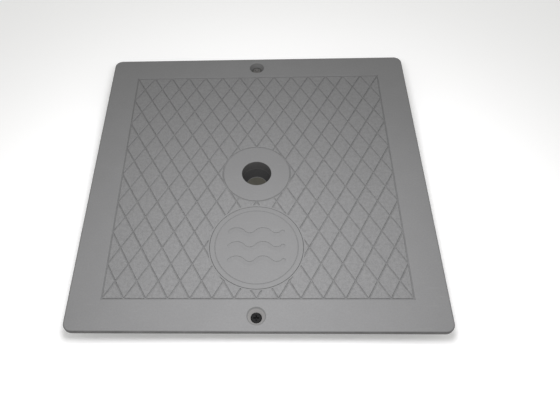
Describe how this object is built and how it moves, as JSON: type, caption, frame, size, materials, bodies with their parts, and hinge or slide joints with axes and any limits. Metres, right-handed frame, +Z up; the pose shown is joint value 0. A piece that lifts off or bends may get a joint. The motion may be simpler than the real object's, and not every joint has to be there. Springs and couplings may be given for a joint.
{
  "type": "square access cover",
  "caption": "Square moulded access cover with a diamond tread, central lift hole, plain medallion disc and captive hold-down screws that back out.",
  "frame": {"origin": "on the floor, under the centre of the square cover, level with the lowest edge of the skirt and hub", "axes": "+Z up through the lift hole to the tread; -Y towards the front edge, nearest the medallion; +X to the right of a person standing at the front"},
  "size_m": [0.254, 0.254, 0.0165],
  "materials": {
    "cover_plastic": "moulded mid grey, fine grain on the diamonds, satin border",
    "medallion_plastic": "moulded mid grey, satin",
    "screw_steel": "black oxide steel",
    "plain_screw_steel": "plain steel gone dull",
    "washer_nylon": "black nylon",
    "ring_nylon": "natural nylon"
  },
  "bodies": {
    "cover": {"cover_plate": "cover_plastic", "medallion_disc": "medallion_plastic"},
    "front_washer": {"front_washer": "washer_nylon"},
    "front_screw": {"front_screw": "screw_steel", "front_retaining_ring": "ring_nylon"},
    "rear_washer": {"rear_washer": "washer_nylon"},
    "rear_screw": {"rear_screw": "plain_screw_steel", "rear_retaining_ring": "ring_nylon"}
  },
  "joints": [
    {"name": "front_screw_lift", "type": "slide", "parent": "cover", "child": "front_washer", "axis": [0, 0, 1], "range_m": [0, 0.0028]},
    {"name": "front_screw_turn", "type": "hinge", "parent": "front_washer", "child": "front_screw", "pos_m": [0, -0.116, 0.0103], "axis": [0, 0, 1], "range_deg": [0, 1440]},
    {"name": "rear_screw_lift", "type": "slide", "parent": "cover", "child": "rear_washer", "axis": [0, 0, 1], "range_m": [0, 0.0028]},
    {"name": "rear_screw_turn", "type": "hinge", "parent": "rear_washer", "child": "rear_screw", "pos_m": [0, 0.116, 0.0103], "axis": [0, 0, 1], "range_deg": [0, 1440]}
  ],
  "couplings": [
    {"joint": "front_screw_turn", "follows": "front_screw_lift", "rad_per_m": 8976},
    {"joint": "rear_screw_turn", "follows": "rear_screw_lift", "rad_per_m": 8976}
  ]
}
